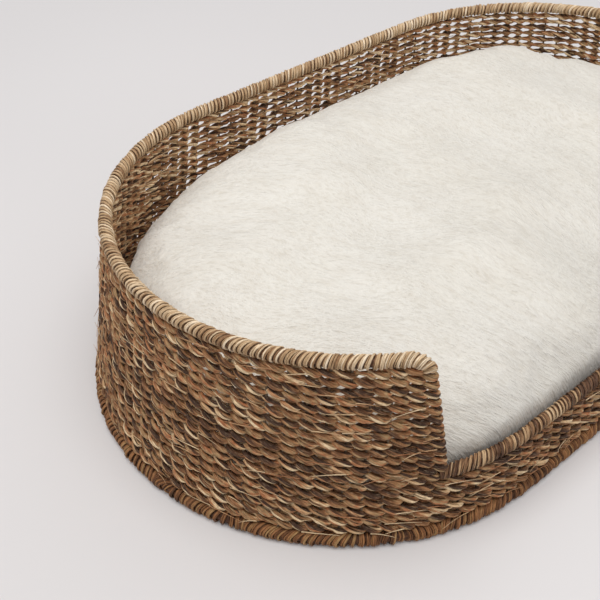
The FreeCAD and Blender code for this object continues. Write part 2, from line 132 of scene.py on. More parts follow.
def grass_material(name, stops, highlight_colour, highlight_share, crevice_shade, bump_height=0.00035):
    """Dried leaf: a tone of its own, streaks along its fibres, painted shade darkening its edges as in the gaps
    between leaves, and painted highlights on its edges.
    """
    m, nt, shader = new_material(name, 0.62)
    shader.inputs["Specular IOR Level"].default_value = 0.35
    fibre = attribute(nt, "fibre", "Vector")
    tone = attribute(nt, "tone", "Fac")
    edge = attribute(nt, "edge", "Fac")
    fine = noise_node(nt, fibre, 2.2, 4.0, 0.65)
    broad = noise_node(nt, fibre, 0.55, 2.0)
    shade = math_node(nt, "MULTIPLY_ADD", broad, 0.55, math_node(nt, "SUBTRACT", tone, 0.275))
    colour = ramp(nt, shade, stops)
    streak = ramp(
        nt, fine, [(0.32, (0.49, 0.44, 0.385, 1)), (0.5, (0.97, 0.95, 0.91, 1)), (0.68, (1.38, 1.35, 1.26, 1))]
    )
    colour = mix(nt, 1.0, colour, streak, "MULTIPLY")
    # painted shade: the leaf darkens towards its edges, as the gaps between leaves lie in shade
    dark = ramp(nt, edge, [(0.55, (1.08, 1.08, 1.08, 1)), (0.8, (0.86, 0.84, 0.82, 1)), (0.98, crevice_shade)])
    colour = mix(nt, 1.0, colour, dark, "MULTIPLY")
    # painted highlight: ragged light streaks on the leaf edges, where they catch the light
    edge_highlight = math_node(nt, "MULTIPLY", math_node(nt, "POWER", edge, 3.0), highlight_share)
    ragged = math_node(nt, "MULTIPLY_ADD", fine, 5.0, -2.6, clamp=True)
    edge_highlight = math_node(nt, "MULTIPLY", edge_highlight, ragged, clamp=True)
    colour = mix(nt, edge_highlight, colour, highlight_colour)
    nt.links.new(colour, shader.inputs["Base Color"])
    bump(nt, shader, fine, bump_height)
    return m


GRASS = grass_material(
    "seagrass",
    [
        (0.0, srgb(66, 40, 24)),
        (0.18, srgb(114, 74, 44)),
        (0.36, srgb(168, 122, 82)),
        (0.5, srgb(170, 142, 104)),
        (0.62, srgb(172, 106, 66)),
        (0.76, srgb(208, 172, 130)),
        (0.92, srgb(236, 212, 176)),
    ],
    # painted highlight colour and its share, then the painted shade colour of the gaps between leaves
    srgb(240, 214, 176),
    1.0,
    (0.28, 0.23, 0.19, 1),
)
RIM_CORD = grass_material(
    "rim_cord",
    [
        (0.0, srgb(84, 54, 35)),
        (0.25, srgb(146, 109, 76)),
        (0.5, srgb(190, 160, 124)),
        (0.75, srgb(216, 192, 161)),
        (1.0, srgb(240, 224, 202)),
    ],
    # painted highlight colour and its share, then the painted shade colour of the gaps between turns
    srgb(240, 226, 198),
    0.8,
    (0.30, 0.24, 0.19, 1),
)
BASE_CORD = grass_material(
    "base_cord",
    [
        (0.0, srgb(78, 48, 28)),
        (0.3, srgb(120, 79, 48)),
        (0.55, srgb(156, 108, 68)),
        (0.8, srgb(150, 118, 78)),
        (1.0, srgb(196, 154, 106)),
    ],
    # painted highlight colour and its share, then the painted shade colour of the gaps between turns
    srgb(206, 176, 132),
    0.8,
    (0.34, 0.29, 0.25, 1),
)


def object_point(nt):
    return nt.nodes.new("ShaderNodeTexCoord").outputs["Object"]


def wire_material():
    """Painted frame wire, slightly worn."""
    m, nt, shader = new_material("frame_wire", 0.5)
    shader.inputs["Metallic"].default_value = 0.25
    worn = noise_node(nt, object_point(nt), 60.0)
    colour = ramp(nt, worn, [(0.35, srgb(84, 68, 52)), (0.7, srgb(122, 104, 84))])
    nt.links.new(colour, shader.inputs["Base Color"])
    return m


NAP_FROM = (0.14, -0.47)  # the fur lies along lines that meet here, before the cushion


def nap_vector(nt, place):
    """Coordinates stretched along the fur: across it, along it, and up."""
    warp = nt.nodes.new("ShaderNodeTexNoise")
    warp.inputs["Scale"].default_value = 7.0
    warp.inputs["Detail"].default_value = 1.0
    nt.links.new(place, warp.inputs["Vector"])
    swirl = nt.nodes.new("ShaderNodeVectorMath")
    swirl.operation = "MULTIPLY_ADD"
    nt.links.new(warp.outputs["Color"], swirl.inputs[0])
    swirl.inputs[1].default_value = (0.09, 0.09, 0.03)
    nt.links.new(place, swirl.inputs[2])
    flat = nt.nodes.new("ShaderNodeSeparateXYZ")
    nt.links.new(swirl.outputs[0], flat.inputs[0])
    east = math_node(nt, "SUBTRACT", flat.outputs["X"], NAP_FROM[0])
    north = math_node(nt, "SUBTRACT", flat.outputs["Y"], NAP_FROM[1])
    bearing = math_node(nt, "ARCTAN2", east, north)
    squares = [math_node(nt, "MULTIPLY", v, v) for v in (east, north)]
    far = math_node(nt, "SQRT", math_node(nt, "ADD", *squares))
    lay = nt.nodes.new("ShaderNodeCombineXYZ")
    nt.links.new(math_node(nt, "MULTIPLY", bearing, 0.6), lay.inputs[0])
    nt.links.new(math_node(nt, "MULTIPLY", far, 0.33), lay.inputs[1])
    nt.links.new(math_node(nt, "MULTIPLY", flat.outputs["Z"], 0.25), lay.inputs[2])
    return lay.outputs[0]


def plush_material():
    """Short cream fur: fine strokes and soft clumps along the nap, with a faint sheen."""
    m, nt, shader = new_material("plush", 1.0)
    shader.inputs["Specular IOR Level"].default_value = 0.1
    shader.inputs["Sheen Weight"].default_value = 0.35
    shader.inputs["Sheen Roughness"].default_value = 0.5
    place = object_point(nt)
    lay = nap_vector(nt, place)
    hair = noise_node(nt, lay, 420.0, 3.0, 0.6)
    clump = noise_node(nt, lay, 95.0, 2.0, 0.5)
    patch = noise_node(nt, place, 9.0, 2.0, 0.5)
    colour = ramp(nt, clump, [(0.3, srgb(225, 220, 211)), (0.6, srgb(230, 226, 218))])
    # painted shade: the fur darkens where the hair pattern is low, in the hollows between the hairs
    shade_between_hairs = ramp(nt, hair, [(0.32, (0.9, 0.885, 0.86, 1)), (0.52, (1, 1, 1, 1))])
    colour = mix(nt, 1.0, colour, shade_between_hairs, "MULTIPLY")
    yellowed = ramp(nt, patch, [(0.3, (0.975, 0.97, 0.955, 1)), (0.7, (1, 1, 1, 1))])
    colour = mix(nt, 1.0, colour, yellowed, "MULTIPLY")
    nt.links.new(colour, shader.inputs["Base Color"])
    bump(nt, shader, math_node(nt, "MULTIPLY_ADD", hair, 1.1, math_node(nt, "MULTIPLY", clump, 0.8)), 0.0018)
    return m


def panel_material():
    """Plain woven cloth, with its two sets of threads."""
    m, nt, shader = new_material("panel_cloth", 0.95)
    shader.inputs["Sheen Weight"].default_value = 0.2
    place = object_point(nt)
    threads = []
    for axis in "XY":
        wave = nt.nodes.new("ShaderNodeTexWave")
        wave.bands_direction = axis
        wave.inputs["Scale"].default_value = 260.0
        nt.links.new(place, wave.inputs["Vector"])
        threads.append(wave.outputs["Fac"])
    cloth = math_node(nt, "MULTIPLY", *threads)
    colour = ramp(nt, cloth, [(0.0, srgb(206, 198, 182)), (0.6, srgb(228, 222, 208))])
    nt.links.new(colour, shader.inputs["Base Color"])
    bump(nt, shader, cloth, 0.0004)
    return m


def speckled_material(name, roughness, scale, detail, low, high):
    """A matt material that varies a little between two colours."""
    m, nt, shader = new_material(name, roughness)
    colour = ramp(nt, noise_node(nt, object_point(nt), scale, detail), [(0.3, srgb(*low)), (0.7, srgb(*high))])
    nt.links.new(colour, shader.inputs["Base Color"])
    return m, shader


WIRE = wire_material()
PLUSH = plush_material()
PANEL = panel_material()
FILLING, _ = speckled_material("filling", 1.0, 120.0, 3.0, (228, 228, 226), (246, 246, 244))

# ---------------------------------------------------------------- strand meshes


def unit(v):
    return v / np.maximum(np.linalg.norm(v, axis=-1, keepdims=True), 1e-12)


def drift(n, knots, closed=False):
    """Smooth random values between -1 and 1 over n stations."""
    knots = max(int(knots), 2)
    v = rng.uniform(-1, 1, knots + 1)
    if closed:
        v[-1] = v[0]
    at = np.linspace(0, knots, n, endpoint=not closed)
    i = np.minimum(at.astype(int), knots - 1)
    f = at - i
    f = f * f * (3 - 2 * f)
    return v[i] * (1 - f) + v[i + 1] * f


def along(path, closed=False):
    """Distance along a path at each point, and its direction there."""
    if closed:
        ends = np.roll(path, -1, 0) - np.roll(path, 1, 0)
    else:
        ends = np.gradient(path, axis=0)
    step = np.linalg.norm(np.diff(path, axis=0), axis=1)
    return np.concatenate([[0], np.cumsum(step)]), unit(ends)


class Strands:
    """Strands of one piece, gathered into a single mesh."""

    def __init__(self):
        self.co, self.fibre, self.tone, self.edge = [], [], [], []
        self.loops, self.sizes, self.count = [], [], 0

    def add(self, path, thick_way, wide_way, thick, wide, tone, closed=False, sides=6, edge=1.0):
        """One strand of oval section along a path. thick and wide are half its thickness and width."""
        n = len(path)
        ring = (np.arange(sides) + 0.5) * 2 * np.pi / sides
        c, s = np.cos(ring), np.sin(ring)
        thick = np.broadcast_to(thick, (n,))[:, None, None]
        wide = np.broadcast_to(wide, (n,))[:, None, None]
        co = path[:, None] + thick_way[:, None] * thick * c[None, :, None]
        co = co + wide_way[:, None] * wide * s[None, :, None]
        dist, _ = along(path)
        fibre = np.empty((n, sides, 3))
        fibre[..., 0] = (dist / MM * 0.10)[:, None]
        fibre[..., 1] = c * 1.1
        fibre[..., 2] = s * 1.1
        fibre += rng.uniform(-50, 50, 3)
        self.co.append(co.reshape(-1, 3))
        self.fibre.append(fibre.reshape(-1, 3))
        self.tone.append(np.repeat(np.broadcast_to(tone, (n,)), sides))
        self.edge.append(np.tile(np.abs(s) * edge, n))
        rings = n if closed else n - 1
        a = (np.arange(rings) * sides)[:, None] + np.arange(sides)
        b = (np.arange(rings) * sides)[:, None] + (np.arange(sides) + 1) % sides
        quads = np.stack([a, b, (b + sides) % (n * sides), (a + sides) % (n * sides)], -1)
        self.loops.append(quads.reshape(-1) + self.count)
        self.sizes.append(np.full(rings * sides, 4))
        if not closed:
            self.loops.append(np.arange(sides)[::-1] + self.count)
            self.loops.append(np.arange(sides) + (n - 1) * sides + self.count)
            self.sizes.append(np.array([sides, sides]))
        self.count += n * sides

    def build(self, name, material, nodes, floor=None):
        """The piece of these strands, on the basket, in place of the given nodes."""
        co = np.concatenate(self.co)
        if floor is not None:
            co[:, 2] = np.maximum(co[:, 2], floor)
        obj = make_mesh(name, co, np.concatenate(self.loops), np.concatenate(self.sizes))
        for key, kind, data in (
            ("fibre", "FLOAT_VECTOR", np.concatenate(self.fibre)),
            ("tone", "FLOAT", np.concatenate(self.tone)),
            ("edge", "FLOAT", np.concatenate(self.edge)),
        ):
            layer = obj.data.attributes.new(key, kind, "POINT")
            layer.data.foreach_set("vector" if data.ndim == 2 else "value", data.astype(np.float32).ravel())
        obj.data.materials.append(material)
        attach(obj, "basket")
        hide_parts(*nodes)


def make_mesh(name, co, loops, sizes):
    me = bpy.data.meshes.new(name)
    me.vertices.add(len(co))
    me.vertices.foreach_set("co", co.astype(np.float32).ravel())
    me.loops.add(len(loops))
    me.loops.foreach_set("vertex_index", loops.astype(np.int32))
    me.polygons.add(len(sizes))
    me.polygons.foreach_set("loop_start", (np.cumsum(sizes) - sizes).astype(np.int32))
    me.update(calc_edges=True)
    me.validate()
    me.polygons.foreach_set("use_smooth", np.ones(len(sizes), bool))
    obj = bpy.data.objects.new(name, me)
    bpy.context.scene.collection.objects.link(obj)
    return obj


# ---------------------------------------------------------------- the wall's lines

STAKES_STRAIGHT, STAKES_END = 19, 44  # stake spacings along one straight side and round one end
ALL = 2 * STAKES_STRAIGHT + 2 * STAKES_END
HALF_WALL = 5.9 * MM
LOW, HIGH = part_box("base_rim_wrap"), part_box("top_rim_wrap")
TUBE_BASE, TUBE_TOP = 6.5 * MM, (HIGH[1].z - HIGH[0].z) / 2  # radii of the wrapped rims
Z_BASE, Z_TOP = 6.1 * MM, (HIGH[0].z + HIGH[1].z) / 2
BEND_BASE, BEND_TOP = LOW[1].y - TUBE_BASE, HIGH[1].y - TUBE_TOP
STRAIGHT_BASE, STRAIGHT_TOP = LOW[1].x - LOW[1].y, HIGH[1].x - HIGH[1].y


def plan(z):
    """Half the straight side and the end radius of the wall's middle line at height z."""
    t = (np.asarray(z) - Z_BASE) / (Z_TOP - Z_BASE)
    return STRAIGHT_BASE + t * (STRAIGHT_TOP - STRAIGHT_BASE), BEND_BASE + t * (BEND_TOP - BEND_BASE)


def loop_at(k, z):
    """Point and outward direction on the middle line, k stakes round from the middle of the back."""
    z = np.broadcast_to(z, np.shape(k))
    s, b = plan(z)
    k = np.asarray(k, float)
    side = np.where(k < 0, -1.0, 1.0)
    k = np.abs(k) % ALL
    h = STAKES_STRAIGHT / 2
    e = float(STAKES_END)
    x = np.empty_like(k)
    y = np.empty_like(k)
    nx = np.zeros_like(k)
    ny = np.ones_like(k)
    m = k <= h
    x[m], y[m] = (k * s / h)[m], b[m]
    m = (k > h) & (k <= h + e)
    a = (k - h) / e * np.pi
    x[m], y[m], nx[m], ny[m] = (s + b * np.sin(a))[m], (b * np.cos(a))[m], np.sin(a)[m], np.cos(a)[m]
    m = (k > h + e) & (k <= 3 * h + e)
    x[m], y[m], ny[m] = (s * (1 - (k - h - e) / h))[m], -b[m], -1
    m = (k > 3 * h + e) & (k <= 3 * h + 2 * e)
    a = (k - 3 * h - e) / e * np.pi
    x[m], y[m], nx[m], ny[m] = (-s - b * np.sin(a))[m], (-b * np.cos(a))[m], -np.sin(a)[m], -np.cos(a)[m]
    m = k > 3 * h + 2 * e
    x[m], y[m] = (s * ((k - 3 * h - 2 * e) / h - 1))[m], b[m]
    point = np.stack([side * x, y, z], -1)
    out = np.stack([side * nx, ny, 0 * nx], -1)
    return point, out


def stake_number(x, z):
    """How many stakes round from the middle of the back the front wall is at this x, past the bend's start."""
    s, b = plan(z)
    return STAKES_STRAIGHT / 2 + STAKES_END * (1 - math.asin((x - s) / b) / math.pi)


def smooth(t):
    t = np.clip(t, 0, 1)
    return t * t * (3 - 2 * t)


# ---------------------------------------------------------------- woven rows

PLY_SWING = 2.5 * MM  # of a ply before and behind the stakes
LIFT = 1.35 * MM  # of a ply over the other, between stakes
PLY_THICK, PLY_TALL = 2.2 * MM, 2.2 * MM
LEAVES = 5
LEAF_WIDTH, LEAF_DEPTH = 1.45 * MM, 0.85 * MM
LEAF_TURN = 0.044  # length in which a leaf goes once round its ply
PER_STAKE = 10  # stations along a row, from one stake to the next
TURNS = 7 / 6  # half turns of the two plies from one stake to the next; an odd number of them all round
PINCHED = 0.45  # share of its swing and lift that a ply loses where the two draw together
WANDER, SHAKE = 0.45 * MM, 0.25 * MM  # how far a whole row and a single ply stray up and down
GRASS_TONE = 0.365
LOOSE = {}


def looseness(row, k):
    """How far two plies pinch between stakes, from 0 to 1: mostly pinched behind, mostly full in front."""
    gap = np.floor(k).astype(int) % ALL
    if row not in LOOSE:
        away = np.abs((np.arange(ALL) + ALL / 2) % ALL - ALL / 2)  # stakes from the middle of the back
        often = np.interp(away, [18, 28, 36, 46], [0.8, 0.4, 0.12, 0.03])
        slack = np.interp(away, [20, 32], [0.5, 0.1])
        dense = 0.32 * smooth((away - 32) / 12)
        tied = rng.uniform(0, 1, ALL) * slack - dense
        LOOSE[row] = np.where(rng.random(ALL) < often, rng.uniform(0.75, 1.15, ALL), tied)
    return LOOSE[row][gap]


def pinch(row, k):
    """How far the two plies draw together between stakes, which leaves a window between two rows."""
    mid = smooth((np.sin(np.pi * k) ** 2 - 0.1) / 0.5)
    return mid * looseness(row, k)


def ply(strands, turn, point, out, shift_r, shift_z, tight, tone):
    """A closed ply: leaves that twist loosely round the path given by its swing about the wall's middle line."""
    path = point + out * shift_r[:, None] + UP * shift_z[:, None]
    dist, way = along(path, closed=True)
    n = len(path)
    face = unit(np.cross(way, UP))
    tall_way = unit(np.cross(face, way))
    flip = np.sign((face * out).sum(-1))
    flip[flip == 0] = 1
    tilt = 0.45 * turn * flip
    thick_way = face * np.cos(tilt)[:, None] + tall_way * np.sin(tilt)[:, None]
    tall = tall_way * np.cos(tilt)[:, None] - face * np.sin(tilt)[:, None]
    knots = dist[-1] / 0.02  # drift has a new value every 20 mm
    size = 1 + 0.10 * drift(n, knots, True)
    thick = PLY_THICK * size * (1 - 0.42 * tight)
    height = PLY_TALL * (1.08 - 0.5 * tight) * (1 + 0.12 * drift(n, knots, True))
    twist = -dist / LEAF_TURN * 2 * np.pi
    # whole turns, so that the ply meets itself
    twist = twist * (round(twist[-1] / 2 / np.pi) * 2 * np.pi / (twist[-1] * n / (n - 1)))
    for leaf in range(LEAVES):
        a = 2 * np.pi * leaf / LEAVES + twist + 0.5 * drift(n, knots, True)
        away = thick_way * (thick * 0.56 * np.cos(a))[:, None] + tall * (height * 0.68 * np.sin(a))[:, None]
        normal = unit(thick_way * (np.cos(a) * height)[:, None] + tall * (np.sin(a) * thick)[:, None])
        cross = unit(np.cross(normal, way))
        width = LEAF_WIDTH * (1 + 0.3 * drift(n, knots, True)) * (1 - 0.38 * tight)
        depth = LEAF_DEPTH * (1 + 0.2 * drift(n, knots, True)) * (1 - 0.25 * tight)
        shade = tone + rng.uniform(-0.32, 0.32) + 0.42 * drift(n, dist[-1] / 0.035, True)
        # painted shade and light: leaves on top of a ply darker, as the row above shades them, and lower ones
        # lighter; lighter still on the basket's inside, as painted light on the inner walls
        shade = shade - 0.3 * (away @ UP) / PLY_TALL + 0.16 * (shift_r < 0)
        strands.add(path + away, normal, cross, depth, width, shade, closed=True, sides=5)


def swing_of(c, tight):
    """Which side of the stakes a ply is on, for the cosine of its turn: it dwells outside and inside."""
    return np.tanh(1.2 * c) / math.tanh(1.2) * PLY_SWING * (1 - PINCHED * tight)


def closed_row(strands, row, z, tone):
    """A row all round: one strand that goes round twice, so that it meets itself as the other ply."""
    n = ALL * PER_STAKE
    once = WANDER * drift(n, ALL / 5, True)
    k = np.arange(2 * n) / PER_STAKE
    phase = np.pi * TURNS * k + np.tile(0.55 * drift(n, ALL / 2, True), 2)
    point, out = loop_at(k, z)
    c, s = np.cos(phase), np.sin(phase)
    tight = pinch(row, k)
    rise = s * LIFT * (1 - PINCHED * tight) + np.tile(once, 2) + SHAKE * drift(2 * n, 2 * ALL, True)
    ply(strands, c, point, out, swing_of(c, tight), rise, tight, tone)


def open_row(strands, row, z, k_end, tone):
    """A row that stops at the entrance: a strand that comes back as the other ply, round both side wires."""
    steps = int(round(2 * k_end * PER_STAKE))
    k = np.linspace(-k_end, k_end, steps)
    warp = (round(TURNS * k_end) / TURNS - k_end) * smooth((np.abs(k) - (k_end - 4)) / 4) * np.sign(k)
    wave_z = WANDER * drift(steps, ALL / 5)
    point, out = loop_at(k, z)
    calm = smooth((k_end - np.abs(k)) / 2)
    plies = []
    for first in (0, 1):
        phase = np.pi * (TURNS * (k + warp) + first) + 0.55 * drift(steps, ALL / 2) * calm
        c, s = np.cos(phase), np.sin(phase)
        tight = pinch(row, k) * calm - 0.2 * (1 - calm)
        rise = s * LIFT * (1 - PINCHED * tight) + wave_z + SHAKE * drift(steps, ALL) * calm
        plies.append((swing_of(c, tight), rise, tight, c))
    # there along one ply, round the right wire, back along the other, round the left wire
    (swing_a, rise_a, tight_a, turn_a), (swing_b, rise_b, tight_b, turn_b) = plies
    psi = np.linspace(0, np.pi, 11)[1:-1]
    round_right, round_left = np.sign(turn_a[-1]) * np.cos(psi), np.sign(turn_b[0]) * np.cos(psi)
    right = turn_round(point[-1], out[-1], unit(point[-1] - point[-2]), swing_a[-1], wave_z[-1], psi)
    left = turn_round(point[0], out[0], unit(point[0] - point[1]), swing_b[0], wave_z[0], psi)
    right_out, left_out = (np.repeat(end[None], len(psi), 0) for end in (out[-1], out[0]))
    level = np.zeros(len(psi))
    ply(
        strands,
        np.concatenate([turn_a, round_right, turn_b[::-1], round_left]),
        np.concatenate([point, right, point[::-1], left]),
        np.concatenate([out, right_out, out[::-1], left_out]),
        np.concatenate([swing_a, level, swing_b[::-1], level]),
        np.concatenate([rise_a, level, rise_b[::-1], level]),
        np.concatenate([tight_a, level, tight_b[::-1], level]),
        tone,
    )


def turn_round(centre, out, way, radius, lift, psi):
    """Points of a half turn round a side wire, at the angles psi."""
    across = out * (np.sign(radius) * abs(radius) * np.cos(psi))[:, None]
    return centre + UP * lift + across + way * (abs(radius) * np.sin(psi))[:, None]


def weave_row(row):
    name = f"weft_row_{row:02d}"
    co = np.array([v.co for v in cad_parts[name].data.vertices])
    z = (co[:, 2].min() + co[:, 2].max()) / 2
    front_x = np.abs(co[co[:, 1] < -0.1, 0]).min()  # where the row stops at the entrance, or near 0
    strands = Strands()
    tone = GRASS_TONE + rng.uniform(-0.06, 0.06)
    if front_x > 0.2:
        k_end = stake_number(front_x + HALF_WALL, z)
        open_row(strands, row, z, k_end, tone)
        stray_fibres(strands, z, k_end, 26)
    else:
        closed_row(strands, row, z, tone)
        stray_fibres(strands, z, ALL / 2, 34)
    strands.build(name + "_twined", GRASS, [name])


def stray_fibres(strands, z, k_end, count):
    """Short broken leaf ends that lift off a row, most of them outside."""
    for _ in range(count):
        k0 = rng.uniform(-k_end, k_end)
        reach = rng.uniform(0.7, 2.2) * (1 if rng.random() < 0.5 else -1)
        t = np.linspace(0, 1, 7)
        k = np.clip(k0 + reach * t, -k_end, k_end)
        face = 1 if rng.random() < 0.75 else -1
        point, out = loop_at(k, z)
        lift = HALF_WALL - 1.2 * MM + rng.uniform(0.5, 4.5) * MM * t ** 2
        sag = rng.uniform(-5, 3) * MM * t ** 1.5 + rng.uniform(-2, 2) * MM
        path = point + out * (face * lift)[:, None] + UP * sag[:, None]
        _, way = along(path)
        wide = unit(np.cross(way, out))
        width = rng.uniform(0.5, 1.0) * MM * (1 - 0.75 * t)
        strands.add(path, out, wide, 0.3 * MM * (1 - 0.5 * t), width, rng.uniform(0.55, 0.95), sides=5)


# ---------------------------------------------------------------- wrapped rims

TURN_STATIONS = 12  # of a wrapping, once round its rim
# leaves of one turn: place along the rim and half width, as shares of the pitch, and how far it sinks in mm,
# which also darkens it as painted shade
TURN_LEAVES = ((-0.27, 0.20, 0.0), (0.0, 0.16, 0.25), (0.24, 0.14, 0.9))


def overwrap(strands, path, closed, radius, pitch, slant, wobble, tone, spread, thick, rough, clump=0.015):
    """Turns of cord laid round a path, with a core under them in the darkest tone, painted shade seen in the
    gaps between turns.

    slant leans all turns, as a share of the radius, and wobble leans them in clumps. spread varies the tone.
    thick is a leaf's half thickness and rough the unevenness of the wrapping, in mm.
    """
    dist, way = along(path, closed)
    length = dist[-1] + (np.linalg.norm(path[0] - path[-1]) if closed else 0)
    side = unit(np.cross(way, UP))
    top = unit(np.cross(side, way))
    if closed:
        dist = np.append(dist, length)
        path, side, top = (np.concatenate([v, v[:1]]) for v in (path, side, top))
    turns = int(length / pitch)
    t = np.arange(turns * TURN_STATIONS + (0 if closed else 1)) / TURN_STATIONS
    centre = t * length / turns + 0.12 * pitch * drift(len(t), turns / 2, closed)
    lean = slant + wobble * drift(len(t), length / clump, closed)
    psi = 2 * np.pi * t
    at = centre + lean * radius * np.cos(psi)
    at = at % length if closed else np.clip(at, 0, length)

    def pick(v, where):
        return np.stack([np.interp(where, dist, v[:, i]) for i in range(3)], -1)

    r = radius + rough * MM * drift(len(t), turns * 1.1, closed) - thick * MM * 0.95
    radial = unit(pick(side, at)) * np.cos(psi)[:, None] + unit(pick(top, at)) * np.sin(psi)[:, None]
    pos = pick(path, at) + radial * r[:, None]
    wide = unit(np.cross(along(pos, closed)[1], radial))
    even = tone + 0.12 * drift(len(t), length / 0.05, closed)
    for place, share, lower in TURN_LEAVES:
        # painted shade: a leaf darkens by how far it sinks in between the others
        shade = even - 0.3 * lower + spread * drift(len(t), turns * 1.3, closed)
        width = pitch * share * (1 + 0.3 * drift(len(t), turns * 1.2, closed))
        shift = pitch * (place + 0.07 * drift(len(t), turns * 1.5, closed))
        sunk = (lower + 0.3 * drift(len(t), turns * 1.5, closed)) * MM
        laid = pos + wide * shift[:, None] - radial * sunk[:, None]
        strands.add(laid, radial, wide, thick * MM, width, shade, closed)
    # the core takes tone 0 and no edges: painted shade in the gaps between turns
    core = max(int(length / (3 * MM)), 8)
    where = np.linspace(0, length, core, endpoint=not closed)
    inner = radius - 1.7 * thick * MM
    ways = unit(pick(side, where)), unit(pick(top, where))
    strands.add(pick(path, where), *ways, inner, inner, 0.0, closed, sides=8, edge=0.0)


def front_line(x, z):
    """Points of the wall's middle line on the front side, at these x and heights."""
    s, b = plan(z)
    over = np.maximum(np.abs(x) - s, 0)
    return np.stack([x, -np.sqrt(np.maximum(b * b - over * over, 0)), z + 0 * x], -1)


RIM_TURNS = dict(pitch=4.4 * MM, slant=-0.42, rough=0.45)
ENTRANCE_HALF_TOP, SHOULDER = 251 * MM, 16 * MM  # half the entrance at the top rim, and its corner radius
RIM_END = 5 * MM  # how far the sill's wrapping runs past its node, into the corners


def top_rim():
    strands = Strands()
    x0 = ENTRANCE_HALF_TOP + SHOULDER
    k0 = stake_number(x0, Z_TOP)
    main, _ = loop_at(np.linspace(-k0, k0, 1100), Z_TOP)
    beta = np.radians(np.linspace(6, 78, 9))
    right = front_line(x0 - SHOULDER * np.sin(beta), Z_TOP - SHOULDER * (1 - np.cos(beta)))
    left = right[::-1] * np.array([-1, 1, 1])
    path = np.concatenate([left, main, right])
    radius = TUBE_TOP + 0.6 * MM
    overwrap(strands, path, False, radius, wobble=0.28, tone=0.64, spread=0.34, thick=1.15, **RIM_TURNS)
    strands.build("top_rim_cord", RIM_CORD, ["top_rim_wrap"])


def entrance_rim():
    strands = Strands()
    low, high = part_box("entrance_rim_wrap")
    path = front_line(np.linspace(low.x - RIM_END, high.x + RIM_END, 260), (low.z + high.z) / 2)
    radius = (high.z - low.z) / 2 + 0.4 * MM
    overwrap(strands, path, False, radius, wobble=0.3, tone=0.2, spread=0.36, thick=1.1, **RIM_TURNS)
    strands.build("entrance_rim_cord", RIM_CORD, ["entrance_rim_wrap"])


def base_rim():
    strands = Strands()
    path, _ = loop_at(np.linspace(0, ALL, 1500, endpoint=False), Z_BASE)
    turns = dict(pitch=5.2 * MM, slant=-0.2, wobble=0.8, clump=0.018, thick=1.3, rough=0.9)
    overwrap(strands, path, True, TUBE_BASE + 0.4 * MM, tone=0.53, spread=0.42, **turns)
    strands.build("base_rim_cord", BASE_CORD, ["base_rim_wrap"], floor=0.2 * MM)


# ---------------------------------------------------------------- woven floor


def woven_floor():
    """Pairs of ropes along the basket, over and under the cross wires in turn."""
    strands = Strands()
    low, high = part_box("floor_weave")
    mid = (low.z + high.z) / 2
    bend = high.y
    straight = high.x - high.y
    pitch = 7.9 * MM
    wire_pitch = 60 * MM
    weave = 1.9 * MM  # half thickness of a rope, and its swing over and under the wires
    count = int(2 * (bend - 4 * MM) / pitch)
    for i in range(count):
        y = (i - (count - 1) / 2) * pitch
        reach = straight + math.sqrt(bend * bend - y * y) - 2 * MM
        n = max(int(2 * reach / (7.5 * MM)), 6)
        x = np.linspace(-reach, reach, n)
        wave = np.cos(np.pi * x / wire_pitch + (np.pi if i % 2 else 0)) * weave
        for half in (-1, 1):
            along_y = y + half * weave + 0.5 * MM * drift(n, n / 6)
            path = np.stack([x, along_y, mid + wave + 0.2 * MM * drift(n, n / 5)], -1)
            _, way = along(path)
            wide = unit(np.cross(way, UP))
            thick = unit(np.cross(wide, way))
            shade = 0.45 + rng.uniform(-0.3, 0.3) + 0.2 * drift(n, n / 10)
            strands.add(path, thick, wide, weave, 2.4 * MM, shade)
    strands.build("floor_woven", GRASS, ["floor_weave"])


# ---------------------------------------------------------------- cushion

# Outlines of the cushion's side from below to its crown, in mm: distance outwards from the CAD side, and height
UNDER = [(-200, 13.4), (-120, 13.2), (-60, 13), (-28, 12.8), (-10, 16)]
HELD = UNDER + [  # held by the high wall
    (-1, 28), (3, 48), (5, 70), (4.5, 96), (4, 116), (1, 129),
    (-7, 137), (-22, 141), (-58, 142), (-110, 142), (-160, 142), (-205, 142),
]
ENDS = UNDER + [  # in the round ends, where the stuffing thins out
    (-1, 28), (3, 48), (4, 68), (4, 84), (1, 97), (-6, 109), (-18, 119),
    (-40, 127.5), (-72, 134), (-110, 139), (-165, 141.5), (-205, 142),
]
ROLL = UNDER + [  # where it rolls over to the entrance sill
    (-1, 24), (9, 38), (15, 52), (17, 66), (15, 77), (6, 87), (-7, 96), (-25, 106),
    (-49, 116), (-78, 125), (-112, 132.5), (-160, 139), (-205, 142),
]
AROUND, RINGS = 288, 56  # points round the cushion, and along an outline


def resample(outline):
    """An outline in metres, with its points evenly spaced."""
    c = np.array(outline, float)
    d = np.concatenate([[0], np.cumsum(np.linalg.norm(np.diff(c, axis=0), axis=1))])
    t = np.linspace(0, 1, RINGS)
    return np.stack([np.interp(t, d / d[-1], c[:, i]) for i in range(2)], -1) * MM


def stadium(straight, bend):
    """Even steps round a stadium: the centre that each point turns about, and its outward direction."""
    length = 4 * straight + 2 * np.pi * bend
    corners = np.cumsum([0, straight, np.pi * bend, 2 * straight, np.pi * bend, straight])
    steps = []
    for u in np.arange(AROUND) / AROUND * length:
        part = int(np.searchsorted(corners, u, side="right")) - 1
        f = u - corners[part]
        a = f / bend
        steps.append((
            (f, 0, 0, 1),
            (straight, 0, math.sin(a), math.cos(a)),
            (straight - f, 0, 0, -1),
            (-straight, 0, -math.sin(a), -math.cos(a)),
            (-straight + f, 0, 0, 1),
        )[min(part, 4)])
    return np.array(steps, float).T


